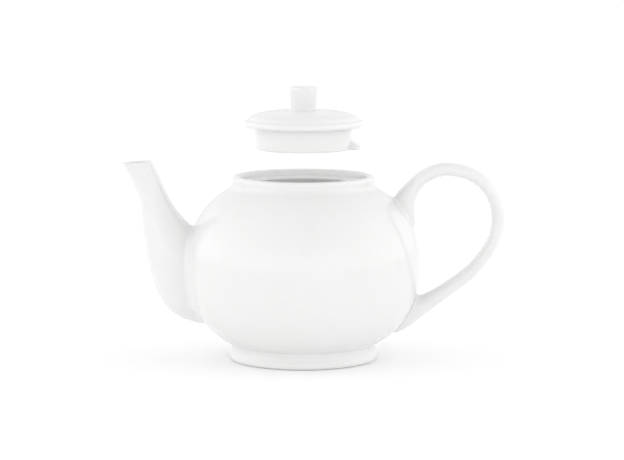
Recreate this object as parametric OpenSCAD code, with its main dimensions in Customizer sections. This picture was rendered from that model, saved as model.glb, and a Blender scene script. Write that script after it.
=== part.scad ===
// Porcelain teapot with a lift-off locking lid.
// Millimetres, +Z up. The origin is the centre of the foot ring's resting face.
// The spout points along -X and the handle along +X. The lid is held above its seat.

/* [Pot] */
// Radius of the belly at its widest
belly_r = 70; // [60:0.1:80]
// Height of the widest part of the belly above the table
belly_z = 56.5; // [50:0.5:62]
// Half height of the belly's full oval
belly_h = 55.6; // [54:0.1:62]
// Squareness of the belly's oval, where 2 is a true ellipse
belly_power = 2.35; // [2:0.05:2.6]
// Thickness of the pot's wall
wall = 4; // [3:0.1:5]
// Height of the underside inside the foot ring
base_z = 5; // [3:0.5:6]
// Height of the crease where the foot ring meets the belly
foot_z = 9.5; // [8:0.1:11]
// Height of the joint between the belly and the collar
neck_z = 102.5; // [100:0.5:104]

/* [Foot ring] */
// Radius of the foot ring at its flare
foot_r = 44.9; // [44:0.1:48]
// Width of the flat face that stands on the table
foot_land = 3.2; // [2:0.1:4.5]

/* [Collar] */
// Outer radius of the collar
collar_r = 42.7; // [42:0.1:44]
// Height of the collar's rounded rim above the table
collar_z = 110.7; // [109:0.1:114]
// Inner radius of the collar above the ledge
collar_bore_r = 37.4; // [36.6:0.1:38]
// Depth of the lid's ledge below the rim
ledge_depth = 4.6; // [3:0.1:6]
// Radius of the mouth inside the ledge
mouth_r = 31; // [30:0.1:32]
// Angle of the gap in the ledge that lets the lug through
notch_angle = 44; // [40:1:60]

/* [Strainer] */
// Diameter of each strainer hole
strainer_d = 4.6; // [3:0.1:5]
// Distance between neighbouring strainer holes
strainer_pitch = 8; // [7:0.1:9]

/* [Spout] */
// Thickness of the spout's wall at the pouring lip
spout_tip_wall = 2.5; // [2:0.1:3]
// Thickness of the spout's wall at the root
spout_root_wall = 3.6; // [3:0.1:4]

/* [Handle] */
// Half of the handle's width across the grip
handle_half_w = 6.2; // [5:0.1:8]

/* [Lid] */
// Height of the lid's seat above the ledge, as the lid is held
lid_raise = 33; // [0:0.1:60]
// Radius of the lid's rim
rim_r = 35.4; // [35:0.1:36]
// Height of the lid's top above its seat
dome_h = 10.7; // [9:0.1:13]
// Thickness of the lid's cap
cap_wall = 4; // [3:0.1:5]
// Outer radius of the flange where it leaves the cap
flange_r = 29.1; // [28:0.1:29.4]
// Height of the flange
flange_h = 12.5; // [11:0.1:14]
// Distance that the locking lug stands out to, from the axis
lug_r = 34.1; // [33:0.1:34.4]
// Angle that the locking lug spans
lug_angle = 32; // [20:1:36]
// Radius of the knob at its top
knob_r = 8.6; // [8:0.1:10]
// Height of the knob above the lid's top
knob_h = 14.3; // [12:0.1:18]
// Diameter of the steam vent
vent_d = 3.4; // [2:0.1:4]

/* [Hidden] */
$fn = 96;

lute = 1;                               // how far the spout and handle sink into the wall
ledge_z = collar_z - ledge_depth;
seat_z = ledge_z + lid_raise;           // the lid's seat plane, as it is held
foot_crease_r = belly_at(foot_z);
inner_r = belly_r - wall;
inner_h = belly_h - wall;
floor_z = base_z + wall + 0.5;
spout_sides = 24;
spout_steps = 2;                        // rings to each span between two rows of the outline
handle_sides = 20;
handle_steps = 3;
vent_x = 18;
strainer_z = 50;

// Spout: the outline of its front and of its back, and half its width.
// Each row is [front x, front z, back x, back z, half width], from the tip to the root.
spout_rows = [
    [-108.6, 118.1, -90.9, 119.5, 7.0],
    [-104.7, 112.2, -87.8, 113.2, 7.2],
    [-100.8, 104.2, -84.6, 106.2, 7.3],
    [ -97.6,  94.0, -80.9,  98.0, 8.0],
    [ -96.6,  82.5, -76.3,  90.4, 9.8],
    [ -94.9,  69.5, -72.0,  84.9, 12.4],
    [ -91.7,  52.8, -69.4,  82.4, 14.8],
    [ -86.0,  37.0, -67.9,  81.0, 16.4],
    [ -75.6,  25.6, -67.0,  80.2, 17.2],
    [ -60.4,  20.9, -66.4,  79.4, 17.4]
];

// Handle: the outline of its outside and of its inside, and how much wider than the grip it is.
// Each row is [outer x, outer z, inner x, inner z, extra half width], from the top root to the bottom.
handle_rows = [
    [ 54.0,  96.6,  66.2,  78.4, 3.0],
    [ 56.6, 100.8,  67.0,  83.4, 2.4],
    [ 61.2, 105.6,  66.6,  93.6, 1.0],
    [ 67.4, 111.4,  71.0, 103.6, 0],
    [ 77.0, 116.9,  79.4, 109.2, 0],
    [ 88.3, 118.3,  88.0, 110.3, 0],
    [104.2, 113.9, 100.4, 106.9, 0],
    [116.4, 102.0, 109.6,  97.8, 0],
    [120.9,  85.5, 112.9,  84.6, 0],
    [116.4,  67.4, 109.5,  70.4, 0],
    [103.4,  49.8,  98.4,  56.2, 0],
    [ 87.4,  37.4,  83.0,  44.8, 0],
    [ 74.0,  27.5,  73.6,  39.4, 0.8],
    [ 63.4,  19.2,  69.4,  38.0, 2.2],
    [ 55.0,  15.2,  68.2,  38.0, 3.0]
];

// Radius of an oval of revolution of radius r and half height h, at height z.
function oval_at(r, h, z) =
    r * pow(max(0, 1 - pow(abs(z - belly_z) / h, belly_power)), 1 / belly_power);
function belly_at(z) = oval_at(belly_r, belly_h, z);
function chamber_at(z) = oval_at(inner_r, inner_h, z);

// Points along an arc about [cx, cy], with half axes a and b, from one angle to another.
function arc(cx, cy, a, b, from, to, n = 8) =
    [for (i = [0:n]) let (t = from + (to - from) * i / n) [cx + a * cos(t), cy + b * sin(t)]];

// A smooth curve through a table's rows, at row number t.
function row(table, i) = table[min(max(i, 0), len(table) - 1)];
function spline(table, t) =
    let (i = min(floor(t), len(table) - 2), s = t - i)
    let (p0 = row(table, i - 1), p1 = row(table, i), p2 = row(table, i + 1), p3 = row(table, i + 2))
    ((2 * p1) + (p2 - p0) * s + (2 * p0 - 5 * p1 + 4 * p2 - p3) * s * s
        + (3 * p1 - p0 - 3 * p2 + p3) * s * s * s) / 2;

// One oval ring between two outline points in the XZ plane, half_w wide to each side,
// and drawn in from the outline by inset.
function ring(a, b, half_w, sides, inset = 0) =
    let (middle = (a + b) / 2, reach = norm(a - b) / 2, way = (a - b) / norm(a - b))
    [for (j = [0:sides - 1])
        let (t = 360 * j / sides, p = middle + way * (reach - inset) * cos(t))
        [p[0], (half_w - inset) * sin(t), p[1]]];

// The same ring laid on the belly, sunk into it by the luting depth, on the side given by its sign.
function on_belly(points, side) =
    [for (p = points) [side * (sqrt(pow(belly_at(p[2]), 2) - pow(p[1], 2)) - lute), p[1], p[2]]];

// Triangles between the rings of a stack, each of them n points, from ring number first to last.
function skin(n, first, last, flip = false) =
    [for (i = [first:last - 1]) for (j = [0:n - 1])
        let (k = (j + 1) % n, a = i * n + j, b = i * n + k, c = (i + 1) * n + k, d = (i + 1) * n + j)
        each flip ? [[a, c, b], [a, d, c]] : [[a, b, c], [a, c, d]]];

module pot_wall() {
    steps = 30;
    outside = [for (i = [0:steps])
        let (z = foot_z + (neck_z - foot_z) * i / steps) [belly_at(z), z]];
    inside = [for (i = [steps:-1:0])
        let (z = floor_z + (neck_z - floor_z) * i / steps) [chamber_at(z), z]];
    foot_inner_r = foot_r - 7.5;
    rotate_extrude()
        polygon(concat([[0, base_z], [foot_inner_r, base_z]], outside, inside, [[0, floor_z]]));
}

module pot_body() {
    color("white")
    difference() {
        pot_wall();
        strainer_window();
    }
}

// The pierced panel of the wall behind the spout, with three staggered columns of holes.
module strainer() {
    color("white")
    difference() {
        intersection() {
            pot_wall();
            strainer_window();
        }
        for (column = [-1:1])
            for (i = [0:column == 0 ? 4 : 3])
                along_x(strainer_d / 2, column * strainer_pitch * sin(60),
                        strainer_z + (i - (column == 0 ? 2 : 1.5)) * strainer_pitch);
    }
}

// The round-ended outline of the pierced panel, carried through the wall.
module strainer_window() {
    half_w = 11;
    rise = 11.5;
    for (side = [-1, 1]) along_x(half_w, 0, strainer_z + side * rise);
    translate([-belly_r - 5, -half_w, strainer_z - rise]) cube([30, 2 * half_w, 2 * rise]);
}

// A round bar along X that passes through the wall on the spout's side.
module along_x(r, y, z) {
    translate([-belly_r - 5, y, z]) rotate([0, 90, 0]) cylinder(r = r, h = 30);
}

module foot_ring() {
    foot_inner_r = foot_r - 7.5;
    land_r = foot_r - 2.6;
    neck_r = foot_crease_r - 0.1;
    color("white")
    rotate_extrude()
        polygon(concat(
            [[foot_inner_r, base_z], [land_r - foot_land - 0.6, 0.8], [land_r - foot_land, 0]],
            arc(land_r, 2, 2.6, 2, -90, 0),
            [[foot_r, 3], [foot_r - 0.3, 4.1], [neck_r + 0.2, 5.4], [neck_r, 6.6], [foot_crease_r, foot_z]]));
}

module collar() {
    rim_half = (collar_r - collar_bore_r) / 2 - 0.3;
    rim_h = 2.4;
    color("white")
    rotate_extrude()
        polygon(concat(
            [[belly_at(neck_z), neck_z], [collar_r + 1.1, neck_z + 0.7], [collar_r + 0.3, neck_z + 1.6],
             [collar_r, neck_z + 3]],
            arc(collar_r - rim_half, collar_z - rim_h, rim_half, rim_h, 0, 180, 12),
            [[collar_bore_r, neck_z]]));
}

// The ring inside the collar that the lid sits on, open over the handle's side to let the lug through.
module ledge() {
    color("white")
    rotate([0, 0, notch_angle / 2])
        rotate_extrude(angle = 360 - notch_angle)
            polygon([[mouth_r, neck_z - 0.8], [chamber_at(neck_z), neck_z],
                     [collar_bore_r, neck_z], [collar_bore_r, ledge_z], [mouth_r, ledge_z]]);
}

module spout() {
    n = spout_sides;
    last = (len(spout_rows) - 1) * spout_steps;
    outer = [for (i = [0:last]) spout_ring(i, last, false)];
    inner = [for (i = [0:last]) spout_ring(i, last, true)];
    points = [for (r = concat(outer, inner)) each r];
    rims = [for (i = [0, last]) for (j = [0:n - 1])
        let (k = (j + 1) % n, a = i * n + j, b = i * n + k, c = (i + last + 1) * n + k, d = (i + last + 1) * n + j)
        each i == 0 ? [[a, b, c], [a, c, d]] : [[a, c, b], [a, d, c]]];
    color("white")
        polyhedron(points, concat(skin(n, 0, last, true), skin(n, last + 1, 2 * last + 1), rims));
}

function spout_ring(i, last, hollow) =
    let (s = spline(spout_rows, i / spout_steps), u = i / last)
    let (inset = hollow ? spout_tip_wall + (spout_root_wall - spout_tip_wall) * u : 0)
    let (r = ring([s[0], s[1]], [s[2], s[3]], s[4], spout_sides, inset))
    i == last ? on_belly(r, -1) : r;

module handle() {
    n = handle_sides;
    last = (len(handle_rows) - 1) * handle_steps;
    rings = [for (i = [0:last]) handle_ring(i, last)];
    tips = [for (i = [0, last]) (rings[i][0] + rings[i][n / 2]) / 2];
    points = concat([for (r = rings) each r], tips);
    ends = [for (j = [0:n - 1]) let (k = (j + 1) % n)
        each [[k, j, (last + 1) * n], [last * n + j, last * n + k, (last + 1) * n + 1]]];
    color("white")
        polyhedron(points, concat(skin(n, 0, last), ends));
}

function handle_ring(i, last) =
    let (s = spline(handle_rows, i / handle_steps))
    let (r = ring([s[0], s[1]], [s[2], s[3]], handle_half_w + s[4], handle_sides))
    (i == 0 || i == last) ? on_belly(r, 1) : r;

module lid_cap() {
    shoulder_r = 33.2;
    shoulder_z = 6.8;
    flat_r = 22;
    rim_z = 3.2;
    outside = concat(
        [[flange_r - 3.5, 0], [flange_r + 3.4, 0]],
        arc(flange_r + 3.4, rim_z, rim_r - flange_r - 3.4, rim_z, -90, 0),
        [[shoulder_r + 0.4, shoulder_z - 0.5]],
        [for (i = [0:6]) let (s = i / 6, r = shoulder_r + (flat_r - shoulder_r) * s)
            [r, shoulder_z + (dome_h - 0.5 - shoulder_z) * sin(90 * s)]],
        [[knob_r + 2, dome_h], [0, dome_h]]);
    underside = [[0, dome_h - cap_wall], [flat_r - 3, dome_h - cap_wall - 0.6], [flange_r - 3.5, 3.4]];
    color("white")
    translate([0, 0, seat_z])
        difference() {
            rotate_extrude() polygon(concat(outside, underside));
            translate([vent_x, 0, 0]) cylinder(d = vent_d, h = dome_h + 2);
        }
}

module lid_flange() {
    taper = 1;
    thickness = 3.5;
    color("white")
    translate([0, 0, seat_z])
        rotate_extrude()
            polygon([
                [flange_r - thickness, 0], [flange_r, 0],
                [flange_r - taper + 0.3, -flange_h + 0.8], [flange_r - taper - 0.5, -flange_h],
                [flange_r - thickness + 0.4, -flange_h], [flange_r - thickness, -flange_h + 0.8]]);
}

module lid_lug() {
    lug_h = 5.5;
    sink = 1.4;
    root_r = flange_r - sink;
    color("white")
    translate([0, 0, seat_z - flange_h])
        rotate([0, 0, -lug_angle / 2])
            rotate_extrude(angle = lug_angle)
                polygon(concat(
                    [[root_r, 0], [lug_r, 0]],
                    arc(lug_r - 5, 1.6, 5, lug_h - 1.6, 0, 90),
                    [[root_r, lug_h]]));
}

module lid_knob() {
    base_r = knob_r - 0.9;
    edge = 1.5;
    color("white")
    translate([0, 0, seat_z + dome_h])
        rotate_extrude()
            polygon(concat(
                [[0, 0], [base_r + 0.8, 0], [base_r, 1.6]],
                arc(knob_r - edge, knob_h - edge, edge, edge, 0, 90),
                [[0, knob_h]]));
}

pot_body();
strainer();
foot_ring();
collar();
ledge();
spout();
handle();
lid_cap();
lid_flange();
lid_lug();
lid_knob();
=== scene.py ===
# Porcelain teapot with a lift-off locking lid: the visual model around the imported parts.
# Shapes are worked out in millimetres, in the parts' own frame, and written out in metres.
import math

import bmesh
import bpy
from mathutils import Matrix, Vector


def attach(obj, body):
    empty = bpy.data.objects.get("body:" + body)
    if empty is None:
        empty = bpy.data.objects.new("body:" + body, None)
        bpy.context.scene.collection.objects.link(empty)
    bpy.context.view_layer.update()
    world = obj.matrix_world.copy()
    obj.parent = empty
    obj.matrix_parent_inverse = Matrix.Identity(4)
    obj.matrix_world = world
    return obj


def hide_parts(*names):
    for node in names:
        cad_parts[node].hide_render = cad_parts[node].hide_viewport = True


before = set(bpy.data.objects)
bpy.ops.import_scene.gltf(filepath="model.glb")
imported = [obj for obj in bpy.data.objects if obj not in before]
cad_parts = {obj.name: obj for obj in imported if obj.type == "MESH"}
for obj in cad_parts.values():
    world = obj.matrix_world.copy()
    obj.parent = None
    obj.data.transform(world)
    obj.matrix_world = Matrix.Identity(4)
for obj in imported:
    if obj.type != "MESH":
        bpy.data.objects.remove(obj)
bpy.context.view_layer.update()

MM = 0.001
SIDES = 256  # facets round the pot's axis
HOLE_SIDES = 48  # facets round a hole

# ---------------------------------------------------------------- the pot's own numbers
BELLY_R, BELLY_H, WALL = 70.0, 55.6, 4.0  # half the belly's width and height, and its wall
BELLY_Z, BELLY_POWER = 56.5, 2.35  # the belly's middle, and how square its oval is
BASE_Z, FOOT_Z, NECK_Z = 5.0, 9.5, 102.5  # the belly's underside, and where its wall starts and ends
FLOOR_Z, FLOOR_EDGE_Z = 9.5, 14.0  # the chamber's floor, and where it has curved up into the wall
FOOT_BORE_R = 35.6  # the edge of the recess, where the underside meets the foot ring
COLLAR_R, COLLAR_Z, BORE_R = 42.7, 110.7, 37.4
LEDGE_Z, MOUTH_R = COLLAR_Z - 4.6, 31.0
LID_RAISE = 33.0  # how far the held lid is above its seat
SEAT_Z = LEDGE_Z + LID_RAISE  # the underside of the held lid's rim
DOME_H, SKIRT_R, FLANGE_H, KNOB_H = 10.7, 25.6, 12.5, 14.3
VENT_X = 18.0
STRAINER_Z, STRAINER_R, PITCH = 50.0, 2.3, 8.0  # middle of the panel, and its holes' radius and spacing
SUNK = 1.0  # how deep the roots of the spout and the handle go into the wall

# [front x, front z, back x, back z, half width], from the pouring lip to the root
SPOUT = [
    [-108.6, 118.1, -90.9, 119.5, 7.0],
    [-104.7, 112.2, -87.8, 113.2, 7.2],
    [-100.8, 104.2, -84.6, 106.2, 7.3],
    [-97.6, 94.0, -80.9, 98.0, 8.0],
    [-96.6, 82.5, -76.3, 90.4, 9.8],
    [-94.9, 69.5, -72.0, 84.9, 12.4],
    [-91.7, 52.8, -69.4, 82.4, 14.8],
    [-86.0, 37.0, -67.9, 81.0, 16.4],
    [-75.6, 25.6, -67.0, 80.2, 17.2],
    [-60.4, 20.9, -66.4, 79.4, 17.4],
]
SPOUT_SIDES = 96
SPOUT_WALL, SPOUT_THICKENS = 2.5, 1.1  # the wall at the lip, and how much it gains down to the root
LIP_ROW, LIP_STEPS = 2, 12  # the lip's rounding replaces the rings before this one

# [outer x, outer z, inner x, inner z, half width], from the upper root to the lower
HANDLE = [
    [54.0, 96.6, 66.2, 78.4, 9.2],
    [56.6, 100.8, 67.0, 83.4, 8.6],
    [61.2, 105.6, 66.6, 93.6, 7.2],
    [67.4, 111.4, 71.0, 103.6, 6.2],
    [77.0, 116.9, 79.4, 109.2, 6.2],
    [88.3, 118.3, 88.0, 110.3, 6.2],
    [104.2, 113.9, 100.4, 106.9, 6.2],
    [116.4, 102.0, 109.6, 97.8, 6.2],
    [120.9, 85.5, 112.9, 84.6, 6.2],
    [116.4, 67.4, 109.5, 70.4, 6.2],
    [103.4, 49.8, 98.4, 56.2, 6.2],
    [87.4, 37.4, 83.0, 44.8, 6.2],
    [74.0, 27.5, 73.6, 39.4, 7.0],
    [63.4, 19.2, 69.4, 38.0, 8.4],
    [55.0, 15.2, 68.2, 38.0, 9.2],
]
HANDLE_SIDES = 48
ROOTED_STEPS = 110  # rings from the end of the spout, or from half way round the handle, to a root


def oval_at(r, h, z):
    """Radius at height z of the oval of revolution that the belly and the chamber follow."""
    return r * max(0.0, 1 - (abs(z - BELLY_Z) / h) ** BELLY_POWER) ** (1 / BELLY_POWER)


def belly_at(z):
    return oval_at(BELLY_R, BELLY_H, z)


def chamber_at(z):
    return oval_at(BELLY_R - WALL, BELLY_H - WALL, z)


# ---------------------------------------------------------------- outlines
def steps(start, stop, count):
    return [start + (stop - start) * i / count for i in range(count + 1)]


def bez(*p, n=10):
    """A Bezier curve of any order through its first and last control points."""
    out = []
    for i in range(n + 1):
        q, t = [tuple(c) for c in p], i / n
        while len(q) > 1:
            q = [tuple(a + (b - a) * t for a, b in zip(u, v)) for u, v in zip(q, q[1:])]
        out.append(q[0])
    return out


def arc(cx, cz, a, b, start, stop, n=12):
    """Part of an ellipse, by angle in degrees."""
    turn = [math.radians(degrees) for degrees in steps(start, stop, n)]
    return [(cx + a * math.cos(t), cz + b * math.sin(t)) for t in turn]


def rounded(corners, n=6):
    """A polyline whose corners [x, z, radius] are rounded off. Its two ends stay as they are."""
    out = [tuple(corners[0][:2])]
    for before, here, after in zip(corners, corners[1:], corners[2:]):
        p, a, b = Vector(here[:2]), Vector(before[:2]), Vector(after[:2])
        u, v = (a - p).normalized(), (b - p).normalized()
        half = math.acos(max(-1, min(1, u.dot(v)))) / 2
        cut = min(here[2] / math.tan(half), 0.49 * (a - p).length, 0.49 * (b - p).length)
        near = cut * 0.42
        out += bez(tuple(p + u * cut), tuple(p + u * near), tuple(p + v * near), tuple(p + v * cut), n=n)
    return out + [tuple(corners[-1][:2])]


def raised(outline, z0):
    """An outline [radius, height] lifted by z0."""
    return [(r, z + z0) for r, z in outline]


def spline(table, t):
    """A smooth curve through a table's rows, at row number t."""
    i = min(int(t), len(table) - 2)
    s = t - i
    p0, p1, p2, p3 = (table[min(max(k, 0), len(table) - 1)] for k in (i - 1, i, i + 1, i + 2))
    square, cube = s * s, s ** 3
    return [(2 * b + (c - a) * s + (2 * a - 5 * b + 4 * c - d) * square + (3 * b - a - 3 * c + d) * cube) / 2
            for a, b, c, d in zip(p0, p1, p2, p3)]


def eased(rows, passes):
    """Rows of numbers smoothed along their length, with the ends kept."""
    for _ in range(passes):
        threes = zip(rows, rows[1:], rows[2:])
        between = [[(a + 2 * b + c) / 4 for a, b, c in zip(*three)] for three in threes]
        rows = [rows[0]] + between + [rows[-1]]
    return rows


def loft(table, fine, passes):
    """A table's rows on a smooth curve, fine of them to each of its own."""
    last = (len(table) - 1) * fine
    return eased([spline(table, i / fine) for i in range(last + 1)], passes)


# ---------------------------------------------------------------- meshes
def skin(rings, closed=False):
    """Vertices and faces of a stack of rings. A ring whose points all meet becomes one pole. closed joins
    the last ring to the first."""
    verts, index, faces = [], [], []
    n = len(rings[0])
    for ring in rings:
        if max(math.dist(p, ring[0]) for p in ring) < 1e-6:
            index.append([len(verts)] * n)
            verts.append(ring[0])
        else:
            index.append(list(range(len(verts), len(verts) + n)))
            verts += ring
    pairs = list(zip(index, index[1:])) + ([(index[-1], index[0])] if closed else [])
    for low, high in pairs:
        for j in range(n):
            k = (j + 1) % n
            face = []
            for v in (low[j], low[k], high[k], high[j]):
                if v not in face:
                    face.append(v)
            if len(face) > 2:
                faces.append(face)
    return verts, faces


def capped(rings):
    """Vertices and faces of a stack of rings with a flat face over each end."""
    verts, faces = skin(rings)
    n = len(rings[0])
    return verts, faces + [list(range(n)), list(range(len(verts) - n, len(verts)))]


def turned(outline, closed=False):
    """Vertices and faces of an outline [radius, height] turned about the pot's axis."""
    turns = [2 * math.pi * j / SIDES for j in range(SIDES)]
    return skin([[(r * math.cos(a), r * math.sin(a), z) for a in turns] for r, z in outline], closed)


def add_mesh(name, verts, faces):
    mesh = bpy.data.meshes.new(name)
    mesh.from_pydata([(x * MM, y * MM, z * MM) for x, y, z in verts], [], faces)
    mesh.validate()
    obj = bpy.data.objects.new(name, mesh)
    bpy.context.scene.collection.objects.link(obj)
    return obj


def outward(mesh):
    """Turns every face of a closed mesh outwards and joins vertices that coincide."""
    bm = bmesh.new()
    bm.from_mesh(mesh)
    bmesh.ops.remove_doubles(bm, verts=bm.verts, dist=1e-7)
    bmesh.ops.recalc_face_normals(bm, faces=bm.faces)
    if bm.calc_volume(signed=True) < 0:
        bmesh.ops.reverse_faces(bm, faces=bm.faces)
    bm.to_mesh(mesh)
    bm.free()


def add_cutter(name, rings):
    obj = add_mesh(name, *capped(rings))
    outward(obj.data)
    return obj


def bar_x(name, y0, z0, rows, rise=0.0):
    """A round bar along X from rows of [x, radius]. rise parts its upper and lower halves, which makes it
    long and round-ended."""
    rings = []
    for x, r in rows:
        ring = []
        for j in range(HOLE_SIDES):
            t = 2 * math.pi * j / HOLE_SIDES
            away = rise if math.sin(t) >= -1e-9 else -rise
            ring.append((x, y0 + r * math.cos(t), z0 + r * math.sin(t) + away))
        rings.append(ring)
    return add_cutter(name, rings)


def bar_z(name, x0, rows):
    """A round bar along Z from rows of [height, radius]."""
    turns = [2 * math.pi * j / HOLE_SIDES for j in range(HOLE_SIDES)]
    return add_cutter(name, [[(x0 + r * math.cos(t), r * math.sin(t), z) for t in turns] for z, r in rows])


def cut_by(obj, cutter, operation="DIFFERENCE"):
    """Applies one exact boolean and removes the cutter."""
    modifier = obj.modifiers.new("cut", "BOOLEAN")
    modifier.operation = operation
    modifier.solver = "EXACT"
    modifier.object = cutter
    bpy.context.view_layer.update()
    mesh = bpy.data.meshes.new_from_object(obj.evaluated_get(bpy.context.evaluated_depsgraph_get()))
    mesh.name = obj.name
    obj.modifiers.clear()
    obj.data = mesh
    bpy.data.objects.remove(cutter)


def finish_piece(obj, body, node, material, sharp=38):
    """Shades a piece smooth up to its sharp edges, gives it its body and its glaze, and hides the imported
    part of its node.
    """
    outward(obj.data)
    obj.data.shade_smooth()
    obj.data.set_sharp_from_angle(angle=math.radians(sharp))
    obj.data.materials.clear()
    obj.data.materials.append(material)
    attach(obj, body)
    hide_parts(node)


def paint_where(obj, material, chosen):
    """Gives a second material to the faces whose centre, in millimetres, is chosen."""
    obj.data.materials.append(material)
    for face in obj.data.polygons:
        if chosen(face.center / MM):
            face.material_index = 1


# ---------------------------------------------------------------- material nodes
def nodes_of(material):
    material.use_nodes = True
    tree = material.node_tree
    return tree, tree.nodes["Principled BSDF"]


def object_place(tree):
    return tree.nodes.new("ShaderNodeTexCoord").outputs["Object"]


def link(tree, a, b):
    tree.links.new(a, b)


def noise(tree, where, scale, detail=3.0, rough=0.5):
    n = tree.nodes.new("ShaderNodeTexNoise")
    n.inputs["Scale"].default_value = scale
    n.inputs["Detail"].default_value = detail
    n.inputs["Roughness"].default_value = rough
    link(tree, where, n.inputs["Vector"])
    return n.outputs["Fac"]


def ramp(tree, value, low, high, start=0.3, stop=0.7):
    """A value spread between two colours."""
    r = tree.nodes.new("ShaderNodeValToRGB")
    for element, place, colour in zip(r.color_ramp.elements, (start, stop), (low, high)):
        element.position = place
        element.color = (*colour, 1)
    link(tree, value, r.inputs["Fac"])
    return r.outputs["Color"]


def spread(tree, value, low, high, start=0.3, stop=0.7):
    """A value spread between two numbers."""
    m = tree.nodes.new("ShaderNodeMapRange")
    for key, number in (("From Min", start), ("From Max", stop), ("To Min", low), ("To Max", high)):
        m.inputs[key].default_value = number
    link(tree, value, m.inputs["Value"])
    return m.outputs["Result"]


def mix(tree, factor, a, b, blend="MIX"):
    m = tree.nodes.new("ShaderNodeMix")
    m.data_type = "RGBA"
    m.blend_type = blend
    factor_socket, a_socket, b_socket = m.inputs[0], m.inputs[6], m.inputs[7]
    if isinstance(factor, float):
        factor_socket.default_value = factor
    else:
        link(tree, factor, factor_socket)
    link(tree, a, a_socket)
    link(tree, b, b_socket)
    return m.outputs[2]


def calc(tree, kind, a, b=None):
    """One step of arithmetic on numbers or other nodes' values."""
    m = tree.nodes.new("ShaderNodeMath")
    m.operation = kind
    for socket, value in zip(m.inputs, (a, b)):
        if isinstance(value, (int, float)):
            socket.default_value = value
        elif value is not None:
            link(tree, value, socket)
    return m.outputs[0]


def power(tree, a, n):
    """A value to the power n, and 0 where it is below 0."""
    return calc(tree, "POWER", calc(tree, "MAXIMUM", a, 0.0), n)


def times(tree, a, b):
    return calc(tree, "MULTIPLY", a, b)


def plus(tree, a, b):
    return calc(tree, "ADD", a, b)


def size_of(tree, a):
    return calc(tree, "ABSOLUTE", a)


def bump(tree, height, strength, distance, under=None):
    b = tree.nodes.new("ShaderNodeBump")
    b.inputs["Strength"].default_value = strength
    b.inputs["Distance"].default_value = distance
    link(tree, height, b.inputs["Height"])
    if under:
        link(tree, under, b.inputs["Normal"])
    return b.outputs["Normal"]


# ---------------------------------------------------------------- materials
def axis_distance(tree, where):
    """Distance from the pot's axis, in metres."""
    parts = tree.nodes.new("ShaderNodeSeparateXYZ")
    link(tree, where, parts.inputs[0])
    x2, y2 = (calc(tree, "POWER", size_of(tree, parts.outputs[k]), 2.0) for k in "XY")
    return calc(tree, "SQRT", plus(tree, x2, y2))


def glazed(name, painted_light_where=None):
    """White porcelain under a clear glaze: faint clouding in the body, a slow waviness in the glaze,
    and very fine orange peel. Inside the pot the colour is painted lighter: painted light, standing in for
    light that does not reach inside under the lid. The second argument is None outside, "all" inside, or
    "rim" on the collar, where the plain colour turns into the painted-light one over the rim."""
    material = bpy.data.materials.new(name)
    tree, shader = nodes_of(material)
    where = object_place(tree)
    cloud = noise(tree, where, 24.0, 4.0, 0.55)
    fine = noise(tree, where, 420.0, 3.0, 0.6)
    outer = ramp(tree, cloud, (0.80, 0.80, 0.795), (0.82, 0.82, 0.82))
    # inner is the painted-light colour: whiter, standing in for light that does not reach inside the pot.
    inner = ramp(tree, cloud, (0.94, 0.94, 0.935), (0.96, 0.96, 0.96))
    body = inner if painted_light_where == "all" else outer
    # On the collar the plain colour outside turns into the painted-light colour inside, over the rim.
    if painted_light_where == "rim":
        outside_share = spread(tree, axis_distance(tree, where), 1.0, 0.0, 0.0385, 0.0415)
        body = mix(tree, outside_share, outer, inner)
    grain = ramp(tree, fine, (0.985, 0.985, 0.98), (1.0, 1.0, 1.0))
    link(tree, mix(tree, 1.0, body, grain, "MULTIPLY"), shader.inputs["Base Color"])
    link(tree, spread(tree, cloud, 0.10, 0.15), shader.inputs["Roughness"])
    wave = noise(tree, where, 30.0, 1.0, 0.4)
    peel = noise(tree, where, 700.0, 2.0, 0.5)
    link(tree, bump(tree, peel, 0.12, 0.00002, bump(tree, wave, 0.25, 0.0006)), shader.inputs["Normal"])
    shader.inputs["IOR"].default_value = 1.5
    shader.inputs["Coat Weight"].default_value = 0.35
    shader.inputs["Coat Roughness"].default_value = 0.04
    shader.inputs["Coat IOR"].default_value = 1.5
    return material


def biscuit():
    """Unglazed porcelain, where the pot stands on its foot: matt, with a fine dry grain."""
    material = bpy.data.materials.new("porcelain_biscuit")
    tree, shader = nodes_of(material)
    where = object_place(tree)
    grain = noise(tree, where, 1500.0, 4.0, 0.7)
    stain = noise(tree, where, 90.0, 3.0, 0.5)
    body = ramp(tree, grain, (0.74, 0.73, 0.70), (0.82, 0.81, 0.79))
    tint = ramp(tree, stain, (0.95, 0.94, 0.92), (1.0, 1.0, 1.0))
    link(tree, mix(tree, 1.0, body, tint, "MULTIPLY"), shader.inputs["Base Color"])
    link(tree, spread(tree, grain, 0.6, 0.85), shader.inputs["Roughness"])
    link(tree, bump(tree, grain, 0.5, 0.00008), shader.inputs["Normal"])
    return material


glaze = glazed("porcelain_glaze")
# Painted light: the inside glaze, and the inside half of the rim glaze, are whiter to stand in for light that
# does not reach inside the pot.
painted_light_glaze = glazed("porcelain_glaze_inside", "all")
painted_light_rim_glaze = glazed("porcelain_glaze_rim", "rim")
bare = biscuit()


# ---------------------------------------------------------------- belly and strainer
def add_window():
    """The long round-ended bar that parts the strainer's panel from the belly's wall."""
    half_width, rise = 11, 11.5
    return bar_x("window", 0, STRAINER_Z, [(-76, half_width), (-40, half_width)], rise)


def add_strainer_hole(y, z):
    """The bar for one hole through the panel, flared at both faces."""
    near, far = -math.sqrt(belly_at(z) ** 2 - y * y), -math.sqrt(chamber_at(z) ** 2 - y * y)
    rows = [(near - 3, 3.1), (near, 3.0), (near + 0.25, 2.6), (near + 0.7, STRAINER_R),
            (far - 0.7, STRAINER_R), (far - 0.25, 2.6), (far, 3.0), (far + 3, 3.1)]
    return bar_x("hole", y, z, rows)


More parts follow.
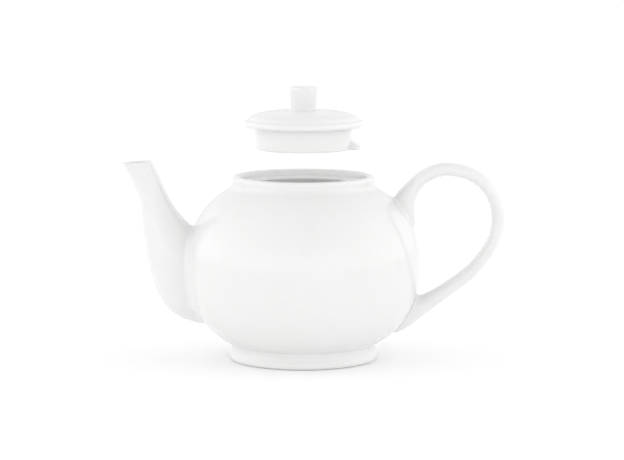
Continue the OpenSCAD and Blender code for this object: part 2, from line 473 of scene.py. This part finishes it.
def faces_chamber(p):
    """Whether a face with this centre looks into the chamber, and not outwards or under the pot."""
    r = math.hypot(p.x, p.y)
    by_the_wall = r < max(chamber_at(p.z), 30.0) + 1.5
    return p.z > FLOOR_Z - 0.5 and by_the_wall and r < belly_at(p.z) - 2.0


def make_belly():
    underside = [(0, BASE_Z), (12, BASE_Z), (24, BASE_Z), (FOOT_BORE_R, BASE_Z)]
    outside = [(belly_at(z), z) for z in steps(FOOT_Z, NECK_Z, 140)]
    inside = [(chamber_at(z), z) for z in steps(NECK_Z, FLOOR_EDGE_Z, 120)]
    floor_edge = bez((24.0, FLOOR_Z), (35.0, FLOOR_Z), (chamber_at(FLOOR_EDGE_Z), FLOOR_EDGE_Z), n=12)
    floor = [(12, FLOOR_Z), (0, FLOOR_Z)]
    belly = add_mesh("belly", *turned(underside + outside + inside[:-1] + floor_edge[::-1] + floor))
    outward(belly.data)
    cut_by(belly, add_window())
    finish_piece(belly, "pot", "pot_body", glaze, sharp=18)
    # Faces that look into the chamber get the painted-light glaze, whiter to stand in for light that does not
    # reach them.
    paint_where(belly, painted_light_glaze, faces_chamber)


def make_strainer():
    outside = [(belly_at(z), z) for z in range(20, 81)]
    inside = [(chamber_at(z), z) for z in range(80, 19, -1)]
    panel = add_mesh("strainer", *turned(outside + inside, closed=True))
    outward(panel.data)
    cut_by(panel, add_window(), "INTERSECT")
    for column, count in ((-1, 4), (0, 5), (1, 4)):
        for i in range(count):
            y = column * PITCH * math.sin(math.radians(60))
            cut_by(panel, add_strainer_hole(y, STRAINER_Z + (i - (count - 1) / 2) * PITCH))
    finish_piece(panel, "pot", "strainer", glaze)
    # Faces that look into the chamber get the painted-light glaze, whiter to stand in for light that does not
    # reach them.
    paint_where(panel, painted_light_glaze, faces_chamber)


make_belly()
make_strainer()


# ---------------------------------------------------------------- foot ring
def is_foot_land(p):
    """Whether a face with this centre is on the land that the pot stands on."""
    return p.z < 0.22 and 38.5 < math.hypot(p.x, p.y) < 42.5


def make_foot_ring():
    outline = (
        bez((FOOT_BORE_R, BASE_Z), (37.6, BASE_Z), (37.75, 3.4), n=6)
        + rounded([(37.75, 3.4), (38.6, 0.9, 0.8), (39.3, 0.02)], 4)[1:]
        + [(40.7, 0.0)]
        + bez((42.1, 0.0), (43.5, 0.0), (44.9, 0.7), (44.9, 2.2), n=12)
        + bez((44.9, 2.2), (44.9, 4.0), (43.75, 4.6), (43.6, 6.6), n=12)[1:]
        + bez((43.6, 6.6), (43.55, 8.0), (belly_at(FOOT_Z), FOOT_Z), n=6)[1:]
    )
    foot = add_mesh("foot_ring", *turned(outline, closed=True))
    finish_piece(foot, "pot", "foot_ring", glaze)
    paint_where(foot, bare, is_foot_land)


make_foot_ring()


# ---------------------------------------------------------------- collar and ledge
def make_collar():
    """The collar: it leaves the neck along the belly's own slope and ends in a rolled rim."""
    neck_r, waist_r = belly_at(NECK_Z), 42.75
    slope = neck_r - belly_at(NECK_Z - 1)
    outline = (
        bez((neck_r, NECK_Z), (waist_r, NECK_Z + (waist_r - neck_r) / slope), (COLLAR_R, 106.3), n=12)
        + arc(40.35, 108.3, 2.35, 2.4, 0, 180, 20)
        + [(BORE_R, LEDGE_Z - 0.4), (BORE_R, NECK_Z - 0.2), (chamber_at(NECK_Z), NECK_Z)]
    )
    collar = add_mesh("collar", *turned(outline, closed=True))
    # The collar's inside gets painted light: its colour turns whiter over the rim to stand in for light that
    # does not reach inside.
    finish_piece(collar, "pot", "collar", painted_light_rim_glaze, sharp=25)


def ledge_section(d):
    """The ledge's section [radius, height], drawn in by d."""
    back, top, m, low = BORE_R + 0.03, LEDGE_Z - d, MOUTH_R + d, 101.75 + d
    return (
        [(back, top + 1.0)]
        + bez((back, top + 0.9), (BORE_R, top), (36.4, top), n=6)
        + bez((m + 1.0, top), (m, top), (m, top - 1.0), n=7)
        + bez((m, low + 1.2), (m, low), (m + 1.2, low + 0.05), n=7)
        + [(back, NECK_Z - 0.2 + d)]
    )


def make_ledge():
    """The ledge that carries the lid. Its section is drawn in at both ends of its gap, to round them over."""
    start, turn = 22.0, 1.8  # where the gap ends and how far the rounding reaches, in degrees
    edge_r = 0.9
    stop = 360 - start
    first = [start + turn * (1 - math.cos(math.radians(9 * k))) for k in range(10)]
    last = [360 - angle for angle in reversed(first)]
    rings = []
    for degrees in first + steps(start + turn, stop - turn, 300) + last:
        near = min(1.0, min(degrees - start, stop - degrees) / turn)
        d = edge_r * (1 - math.sqrt(max(0.0, 1 - (1 - near) ** 2)))
        a = math.radians(degrees)
        rings.append([(r * math.cos(a), r * math.sin(a), z) for r, z in ledge_section(d)])
    ledge = add_mesh("ledge", *capped(rings))
    # The ledge gets the painted-light glaze, whiter to stand in for light that does not reach inside the pot.
    finish_piece(ledge, "pot", "ledge", painted_light_glaze)


make_collar()
make_ledge()


# ---------------------------------------------------------------- roots of the spout and the handle
def section(row, sides, inset=0.0):
    """One oval ring between an outer and an inner point of the outline."""
    ax, az, bx, bz, half = row
    reach = math.hypot(ax - bx, az - bz) / 2
    ux, uz = (ax - bx) / (2 * reach), (az - bz) / (2 * reach)
    ring = []
    for j in range(sides):
        t = 2 * math.pi * j / sides
        d = (reach - inset) * math.cos(t)
        ring.append(((ax + bx) / 2 + ux * d, (half - inset) * math.sin(t), (az + bz) / 2 + uz * d))
    return ring


def on_belly(p, side, sink=0.0):
    """A point moved along X to the belly's surface, or to a depth under it. side is -1 at the spout."""
    return (side * (math.sqrt(max(belly_at(p[2]) ** 2 - p[1] ** 2, 0.0)) - sink), p[1], p[2])


def belly_normal(p):
    slope = (belly_at(p[2] + 0.05) - belly_at(p[2] - 0.05)) / 0.1
    return Vector((p[0], p[1], -slope * math.hypot(p[0], p[1]))).normalized()


def resampled(line, count):
    """A polyline's points spread evenly along it."""
    lengths = [0.0]
    for a, b in zip(line, line[1:]):
        lengths.append(lengths[-1] + math.dist(a, b))
    out, k = [], 0
    for want in steps(0.0, lengths[-1], count):
        while k < len(line) - 2 and lengths[k + 1] < want:
            k += 1
        f = (want - lengths[k]) / max(lengths[k + 1] - lengths[k], 1e-9)
        out.append(tuple(a + (b - a) * f for a, b in zip(line[k], line[k + 1])))
    return out


def shortened(line, cut):
    """A polyline with a length taken off its end."""
    line = list(line)
    while len(line) > 2 and math.dist(line[-1], line[-2]) < cut:
        cut -= math.dist(line[-1], line[-2])
        line.pop()
    f = 1 - cut / math.dist(line[-1], line[-2])
    line[-1] = tuple(a + (b - a) * f for a, b in zip(line[-2], line[-1]))
    return line


def rooted(lines, side, radii, n=12):
    """Ends each line, which runs down to a point on the belly, in a fillet that lies down on the belly. radii
    are those at the sides, at the top and at the bottom. Gives the shortened line and the fillet of each."""
    at_sides, at_top, at_bottom = radii
    count, out = len(lines), []
    feet = [Vector(line[-1]) for line in lines]
    middle = sum(feet, Vector()) / count
    high, low = max(f.z for f in feet), min(f.z for f in feet)
    for j, line in enumerate(lines):
        foot_at, normal = feet[j], belly_normal(line[-1])
        along = feet[(j + 1) % count] - feet[j - 1]
        away = along.cross(normal).normalized()
        if away.dot(foot_at - middle) < 0:
            away.negate()
        up = (Vector(shortened(line, 2.0)[-1]) - foot_at).normalized()
        half = math.acos(max(-1, min(1, up.dot(away)))) / 2
        lean = (foot_at.z - (high + low) / 2) / ((high - low) / 2)
        size = at_sides + ((at_top if lean > 0 else at_bottom) - at_sides) * abs(lean) ** 2.5
        cut = min(size / math.tan(half), size)
        top = shortened(line, cut)
        start = Vector(top[-1])
        end = Vector(on_belly(tuple(foot_at + away * cut), side, 0.03))
        flat = belly_normal(tuple(end))
        inward = (foot_at - end) - flat * (foot_at - end).dot(flat)
        c1 = start + (foot_at - start) * 0.6
        c2 = end + inward.normalized() * (foot_at - end).length * 0.6
        out.append((top, bez(tuple(start), tuple(c1), tuple(c2), tuple(end), n=n)[1:]))
    return out


def rings_to_root(ends):
    """The rings that the shortened lines and their fillets make, down to the belly."""
    tops = zip(*[resampled(top, ROOTED_STEPS) for top, _ in ends])
    fillets = zip(*[fillet for _, fillet in ends])
    return [list(ring) for ring in tops] + [list(ring) for ring in fillets]


def match_belly(obj):
    """Eases a fillet's normals into the belly's own where it lies down on it, so that no edge shows."""
    below, above = -0.04, 0.5  # heights over the belly between which the normals are eased
    mesh = obj.data
    normals = [tuple(v.normal) for v in mesh.vertices]
    for v in mesh.vertices:
        p = tuple(c / MM for c in v.co)
        off = math.hypot(p[0], p[1]) - belly_at(p[2])
        flat = belly_normal(p)
        if below < off < above and v.normal.dot(flat) > 0.8:
            normals[v.index] = tuple(v.normal.lerp(flat, 1 - max(off, 0.0) / above).normalized())
    mesh.normals_split_custom_set_from_vertices(normals)


# ---------------------------------------------------------------- spout
def lip_rings(outer, inner):
    """The rounding of the pouring lip, from the outer wall over to the inner one."""
    out = []
    for k in range(1, LIP_STEPS):
        t = math.pi * k / LIP_STEPS
        ring = []
        for j in range(SPOUT_SIDES):
            o, i = Vector(outer[LIP_ROW][j]), Vector(inner[LIP_ROW][j])
            tip = Vector(outer[0][j]) * 0.65 + Vector(inner[0][j]) * 0.35 - (o + i) / 2
            ring.append(tuple((o + i) / 2 + (o - i) / 2 * math.cos(t) + tip * math.sin(t)))
        out.append(ring)
    return out


def make_spout():
    rows = loft(SPOUT, 12, 10)
    last = len(rows) - 1
    outer = [section(row, SPOUT_SIDES) for row in rows]
    outer[-1] = [on_belly(p, -1) for p in outer[-1]]
    inner = [section(row, SPOUT_SIDES, SPOUT_WALL + SPOUT_THICKENS * i / last) for i, row in enumerate(rows)]
    inner[-1] = [on_belly(p, -1, SUNK) for p in inner[-1]]
    lines = [[ring[j] for ring in outer[LIP_ROW:]] for j in range(SPOUT_SIDES)]
    wall = rings_to_root(rooted(lines, -1, (12.0, 2.6, 5.0)))
    sunk = [on_belly(p, -1, SUNK) for p in wall[-1]]
    stack = inner[:LIP_ROW - 1:-1] + lip_rings(outer, inner)[::-1] + wall + [sunk]
    spout = add_mesh("spout", *skin(stack, closed=True))
    finish_piece(spout, "pot", "spout", glaze, sharp=60)
    match_belly(spout)


make_spout()


# ---------------------------------------------------------------- handle
def plug(ring):
    """Closes a root inside the belly's wall."""
    deep = [on_belly(p, 1, SUNK) for p in ring]
    centre = tuple(sum(c) / len(deep) for c in zip(*deep))
    return [deep, [centre] * len(deep)]


def make_handle():
    rings = [section(row, HANDLE_SIDES) for row in loft(HANDLE, 10, 8)]
    half_way = len(rings) // 2
    rings[0] = [on_belly(p, 1) for p in rings[0]]
    rings[-1] = [on_belly(p, 1) for p in rings[-1]]
    up_lines = [[ring[j] for ring in rings[half_way::-1]] for j in range(HANDLE_SIDES)]
    down_lines = [[ring[j] for ring in rings[half_way:]] for j in range(HANDLE_SIDES)]
    upper = rings_to_root(rooted(up_lines, 1, (5.0, 2.5, 3.0)))
    lower = rings_to_root(rooted(down_lines, 1, (3.0, 3.0, 2.0)))
    stack = plug(upper[-1])[::-1] + upper[::-1] + lower[1:] + plug(lower[-1])
    handle = add_mesh("handle", *skin(stack))
    finish_piece(handle, "pot", "handle", glaze, sharp=60)
    match_belly(handle)


make_handle()


# ---------------------------------------------------------------- lid
def make_lid_cap():
    outline = (
        [(0, 6.7), (9, 6.62)]
        + bez((15, 6.45), (22.6, 6.1), (SKIRT_R, 3.9), (SKIRT_R, 1.6), n=14)
        + [(SKIRT_R, 0.0), (31.0, 0.0)]
        + bez((31.0, 0.0), (33.6, 0.05), (35.4, 1.0), (35.4, 2.6), n=12)[1:]
        + bez((35.4, 2.6), (35.4, 3.9), (34.9, 4.45), (34.2, 4.7), n=8)[1:]
        + bez((34.2, 4.7), (33.7, 4.9), (33.4, 5.2), (33.0, 5.8), n=6)[1:]
        + bez((33.0, 5.8), (32.3, 6.9), (31.5, 7.5), (30.2, 8.0), n=12)[1:]
        + bez((30.2, 8.0), (26.0, 9.7), (19.0, 10.6), (10.6, DOME_H), n=24)[1:]
        + [(5, DOME_H), (0, DOME_H)]
    )
    vent = [(3.0, 2.5), (6.15, 2.3), (6.45, 1.9), (6.9, 1.7),
            (9.6, 1.7), (10.15, 1.9), (10.45, 2.25), (14, 2.6)]
    cap = add_mesh("lid_cap", *turned(raised(outline, SEAT_Z)))
    outward(cap.data)
    cut_by(cap, bar_z("drill", VENT_X, [(SEAT_Z + z, r) for z, r in vent]))
    finish_piece(cap, "lid", "lid_cap", glaze, sharp=30)


def make_lid_flange():
    foot_z = -FLANGE_H + 1.9  # where the rounding of the flange's foot starts
    outline = (
        [(SKIRT_R, 0.0), (26.2, 0.4), (30.0, 0.4)]
        + bez((30.2, -0.03), (29.15, -0.03), (29.08, -1.2), n=8)
        + [(28.7, -6.0)]
        + rounded([(28.4, foot_z), (28.25, -FLANGE_H, 0.7), (26.1, -FLANGE_H, 0.8), (SKIRT_R, foot_z)], 6)
    )
    flange = add_mesh("lid_flange", *turned(raised(outline, SEAT_Z), closed=True))
    finish_piece(flange, "lid", "lid_flange", glaze, sharp=40)


def make_lid_lug():
    """The lug: a wedge round part of the flange's foot, which shrinks into the flange at its two ends."""
    root_r, half_angle, shrinks_from = 27.7, 16.0, 11.5
    outline = (
        [(root_r, 0.0)]
        + bez((31.6, 0.0), (33.0, 0.0), (33.9, 0.1), (34.0, 1.0), n=8)
        + bez((34.0, 1.0), (34.05, 2.0), (33.2, 2.5), (32.0, 3.3), n=10)[1:]
        + bez((32.0, 3.3), (30.3, 4.4), (29.0, 5.0), (28.6, 6.6), n=10)[1:]
        + [(root_r, 6.6)]
    )
    columns = []
    for off in steps(-half_angle, half_angle, 64):
        past = max(0.0, (abs(off) - shrinks_from) / (half_angle - shrinks_from))
        shrink = math.sqrt(max(0.0, 1 - past ** 2))
        a, column = math.radians(off), []
        for r, z in outline:
            far = root_r + (r - root_r) * shrink
            high = SEAT_Z - FLANGE_H + z * (0.35 + 0.65 * shrink) + 0.02
            column.append((far * math.cos(a), far * math.sin(a), high))
        columns.append(column)
    lug = add_mesh("lid_lug", *capped(columns))
    finish_piece(lug, "lid", "lid_lug", glaze, sharp=50)


def make_lid_knob():
    outline = (
        [(0, 0.0), (9.0, 0.0)]
        + bez((9.9, -0.03), (8.0, 0.0), (7.72, 0.9), (7.72, 2.4), n=10)
        + [(7.95, 6.0), (8.3, 9.6)]
        + bez((8.55, 12.4), (8.68, 13.75), (8.0, 14.15), (6.6, 14.25), n=12)
        + [(4, KNOB_H), (0, KNOB_H)]
    )
    knob = add_mesh("lid_knob", *turned(raised(outline, SEAT_Z + DOME_H)))
    finish_piece(knob, "knob", "lid_knob", glaze, sharp=60)


make_lid_cap()
make_lid_flange()
make_lid_lug()
make_lid_knob()


# ---------------------------------------------------------------- studio
def light_studio():
    """Soft light all round, stronger to either side and low in front, weaker from above and low behind."""
    world = bpy.data.worlds.new("studio")
    bpy.context.scene.world = world
    world.use_nodes = True
    tree = world.node_tree
    toward = tree.nodes.new("ShaderNodeSeparateXYZ")
    link(tree, tree.nodes.new("ShaderNodeTexCoord").outputs["Generated"], toward.inputs[0])
    east, north, up = (toward.outputs[k] for k in "XYZ")
    part_up = times(tree, up, 0.7)
    front_up = plus(tree, times(tree, north, -0.7), part_up)
    back_up = plus(tree, times(tree, north, 0.7), part_up)
    low = power(tree, calc(tree, "SUBTRACT", 1.0, size_of(tree, up)), 4.0)
    in_front = times(tree, power(tree, times(tree, north, -1.0), 2.0), low)
    behind = times(tree, power(tree, north, 2.0), low)
    level = 1.21
    for share, amount in ((power(tree, size_of(tree, east), 2.0), 0.40),
                          (power(tree, up, 3.0), -0.28),
                          (power(tree, front_up, 3.0), -0.33),
                          (power(tree, back_up, 3.0), -0.26),
                          (in_front, 0.45),
                          (behind, -0.27)):
        level = plus(tree, level, times(tree, share, amount))
    background = tree.nodes["Background"]
    background.inputs["Color"].default_value = (1, 1, 1, 1)
    link(tree, level, background.inputs["Strength"])


def lay_floor():
    """A plain white sheet, just under the foot, that lights up a little by itself."""
    far = 20000
    corners = [(-far, -far, 0), (far, -far, 0), (far, far, 0), (-far, far, 0)]
    floor = add_mesh("floor", corners, [(0, 1, 2, 3)])
    floor.location.z = -0.05 * MM
    paper = bpy.data.materials.new("paper")
    tree, shader = nodes_of(paper)
    fibre = noise(tree, object_place(tree), 300.0, 2.0)
    link(tree, ramp(tree, fibre, (0.955, 0.955, 0.955), (0.965, 0.965, 0.965)), shader.inputs["Base Color"])
    shader.inputs["Roughness"].default_value = 0.9
    shader.inputs["Emission Color"].default_value = (1, 1, 1, 1)
    shader.inputs["Emission Strength"].default_value = 0.06
    floor.data.materials.append(paper)


def set_camera():
    """A long lens from the front, a little above the pot, with the spout to the left."""
    aim = Vector((0.0051, 0, 0.0777))
    camera = bpy.data.objects.new("camera", bpy.data.cameras.new("camera"))
    camera.data.sensor_width = 36.0
    camera.data.lens = 150.22
    camera.data.clip_start = 0.01
    camera.data.clip_end = 100.0
    camera.location = (0.0051, -1.55, 0.2733)
    camera.rotation_euler = (aim - camera.location).to_track_quat("-Z", "Y").to_euler()
    bpy.context.scene.collection.objects.link(camera)
    bpy.context.scene.camera = camera
    bpy.context.scene.view_settings.view_transform = "Standard"
    bpy.context.scene.view_settings.look = "None"


light_studio()
lay_floor()
set_camera()
